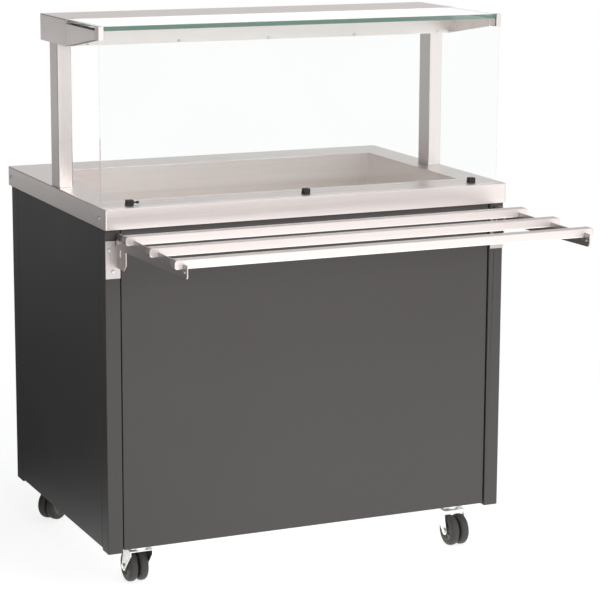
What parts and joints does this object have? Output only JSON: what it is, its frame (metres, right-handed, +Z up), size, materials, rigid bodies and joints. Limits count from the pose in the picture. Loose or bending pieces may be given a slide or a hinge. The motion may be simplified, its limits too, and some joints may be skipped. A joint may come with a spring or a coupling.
{
  "type": "food service trolley",
  "caption": "Wheeled servery counter with a stainless worktop and open heated well, glass-fronted gantry, fold-down tray slide, panelled cupboard and swivel castors.",
  "frame": {"origin": "on the floor, at the middle of the space the trolley takes up with its tray slide raised", "axes": "+X along the counter, -Y towards the customer side with the tray slide, +Z up"},
  "size_m": [1.0194, 1.153, 1.3],
  "materials": {
    "stainless": "satin brushed stainless steel",
    "zinc": "bright zinc plated steel",
    "graphite_paint": "fine matt powder coat, graphite grey",
    "clear_glass": "clear toughened glass with polished edges",
    "black_plastic": "moulded black plastic",
    "tyre": "dark grey non-marking rubber",
    "heater_mat": "silicone heater mat",
    "lamp_white": "opal lamp tube"
  },
  "bodies": {
    "cabinet": {"worktop": "stainless", "well_tank": "stainless", "well_heater": "heater_mat", "well_jacket": "zinc", "corner_posts": "graphite_paint", "left_side_panel": "graphite_paint", "right_side_panel": "graphite_paint", "front_panel": "graphite_paint", "base_tray": "zinc", "cupboard_shelf": "zinc", "control_panel": "stainless", "thermostat": "zinc", "switch_housing": "black_plastic", "power_inlet": "black_plastic", "door_pins": "zinc", "left_gantry_post": "stainless", "right_gantry_post": "stainless", "gantry_bolts": "zinc", "gantry_beam": "stainless", "lamp_tray": "stainless", "lamp_tube": "lamp_white", "left_cheek": "stainless", "right_cheek": "stainless", "glass_shelf": "clear_glass", "front_glass": "clear_glass", "glass_clamps": "stainless", "glass_clips": "black_plastic", "trim_screws": "zinc", "left_bracket": "stainless", "right_bracket": "stainless", "castor_heads": "zinc", "castor_bolts": "zinc"},
    "tray_slide": {"left_arm": "stainless", "right_arm": "stainless", "arm_bolts": "zinc", "inner_rail": "stainless", "middle_rail": "stainless", "outer_rail": "stainless"},
    "left_door_body": {"left_door": "graphite_paint", "left_door_handle": "stainless"},
    "right_door_body": {"right_door": "graphite_paint", "right_door_handle": "stainless"},
    "knob_body": {"thermostat_knob": "black_plastic"},
    "switch_body": {"power_switch": "black_plastic"},
    "front_left_castor": {"front_left_fork": "zinc", "front_left_axle": "zinc"},
    "front_left_roller_1": {"front_left_wheel_1": "tyre"},
    "front_left_roller_2": {"front_left_wheel_2": "tyre"},
    "front_right_castor": {"front_right_fork": "zinc", "front_right_axle": "zinc"},
    "front_right_roller_1": {"front_right_wheel_1": "tyre"},
    "front_right_roller_2": {"front_right_wheel_2": "tyre"},
    "rear_left_castor": {"rear_left_fork": "zinc", "rear_left_axle": "zinc"},
    "rear_left_roller_1": {"rear_left_wheel_1": "tyre"},
    "rear_left_roller_2": {"rear_left_wheel_2": "tyre"},
    "rear_right_castor": {"rear_right_fork": "zinc", "rear_right_axle": "zinc"},
    "rear_right_roller_1": {"rear_right_wheel_1": "tyre"},
    "rear_right_roller_2": {"rear_right_wheel_2": "tyre"}
  },
  "joints": [
    {"name": "tray_slide_fold", "type": "hinge", "parent": "cabinet", "child": "tray_slide", "pos_m": [0, -0.164, 0.829], "axis": [1, 0, 0], "range_deg": [0, 90]},
    {"name": "left_door_hinge", "type": "hinge", "parent": "cabinet", "child": "left_door_body", "pos_m": [-0.4565, 0.537, 0.719], "axis": [0, 0, 1], "range_deg": [0, 90]},
    {"name": "right_door_hinge", "type": "hinge", "parent": "cabinet", "child": "right_door_body", "pos_m": [0.4565, 0.537, 0.719], "axis": [0, 0, -1], "range_deg": [0, 90]},
    {"name": "thermostat_turn", "type": "hinge", "parent": "cabinet", "child": "knob_body", "pos_m": [-0.15, 0.557, 0.7875], "axis": [0, -1, 0], "range_deg": [0, 300]},
    {"name": "power_switch_rock", "type": "hinge", "parent": "cabinet", "child": "switch_body", "pos_m": [-0.04, 0.552, 0.7875], "axis": [1, 0, 0], "range_deg": [0, 14]},
    {"name": "front_left_swivel", "type": "hinge", "parent": "cabinet", "child": "front_left_castor", "pos_m": [-0.4075, -0.073, 0.092], "axis": [0, 0, 1], "continuous": true},
    {"name": "front_left_roll_1", "type": "hinge", "parent": "front_left_castor", "child": "front_left_roller_1", "pos_m": [-0.4075, -0.045, 0.0375], "axis": [-1, 0, 0], "continuous": true},
    {"name": "front_left_roll_2", "type": "hinge", "parent": "front_left_castor", "child": "front_left_roller_2", "pos_m": [-0.4075, -0.045, 0.0375], "axis": [-1, 0, 0], "continuous": true},
    {"name": "front_right_swivel", "type": "hinge", "parent": "cabinet", "child": "front_right_castor", "pos_m": [0.4075, -0.073, 0.092], "axis": [0, 0, 1], "continuous": true},
    {"name": "front_right_roll_1", "type": "hinge", "parent": "front_right_castor", "child": "front_right_roller_1", "pos_m": [0.4075, -0.101, 0.0375], "axis": [1, 0, 0], "continuous": true},
    {"name": "front_right_roll_2", "type": "hinge", "parent": "front_right_castor", "child": "front_right_roller_2", "pos_m": [0.4075, -0.101, 0.0375], "axis": [1, 0, 0], "continuous": true},
    {"name": "rear_left_swivel", "type": "hinge", "parent": "cabinet", "child": "rear_left_castor", "pos_m": [-0.4075, 0.511, 0.092], "axis": [0, 0, 1], "continuous": true},
    {"name": "rear_left_roll_1", "type": "hinge", "parent": "rear_left_castor", "child": "rear_left_roller_1", "pos_m": [-0.43044, 0.49494, 0.0375], "axis": [0.5736, -0.8192, 0], "continuous": true},
    {"name": "rear_left_roll_2", "type": "hinge", "parent": "rear_left_castor", "child": "rear_left_roller_2", "pos_m": [-0.43044, 0.49494, 0.0375], "axis": [0.5736, -0.8192, 0], "continuous": true},
    {"name": "rear_right_swivel", "type": "hinge", "parent": "cabinet", "child": "rear_right_castor", "pos_m": [0.4075, 0.511, 0.092], "axis": [0, 0, 1], "continuous": true},
    {"name": "rear_right_roll_1", "type": "hinge", "parent": "rear_right_castor", "child": "rear_right_roller_1", "pos_m": [0.4075, 0.539, 0.0375], "axis": [-1, 0, 0], "continuous": true},
    {"name": "rear_right_roll_2", "type": "hinge", "parent": "rear_right_castor", "child": "rear_right_roller_2", "pos_m": [0.4075, 0.539, 0.0375], "axis": [-1, 0, 0], "continuous": true}
  ]
}
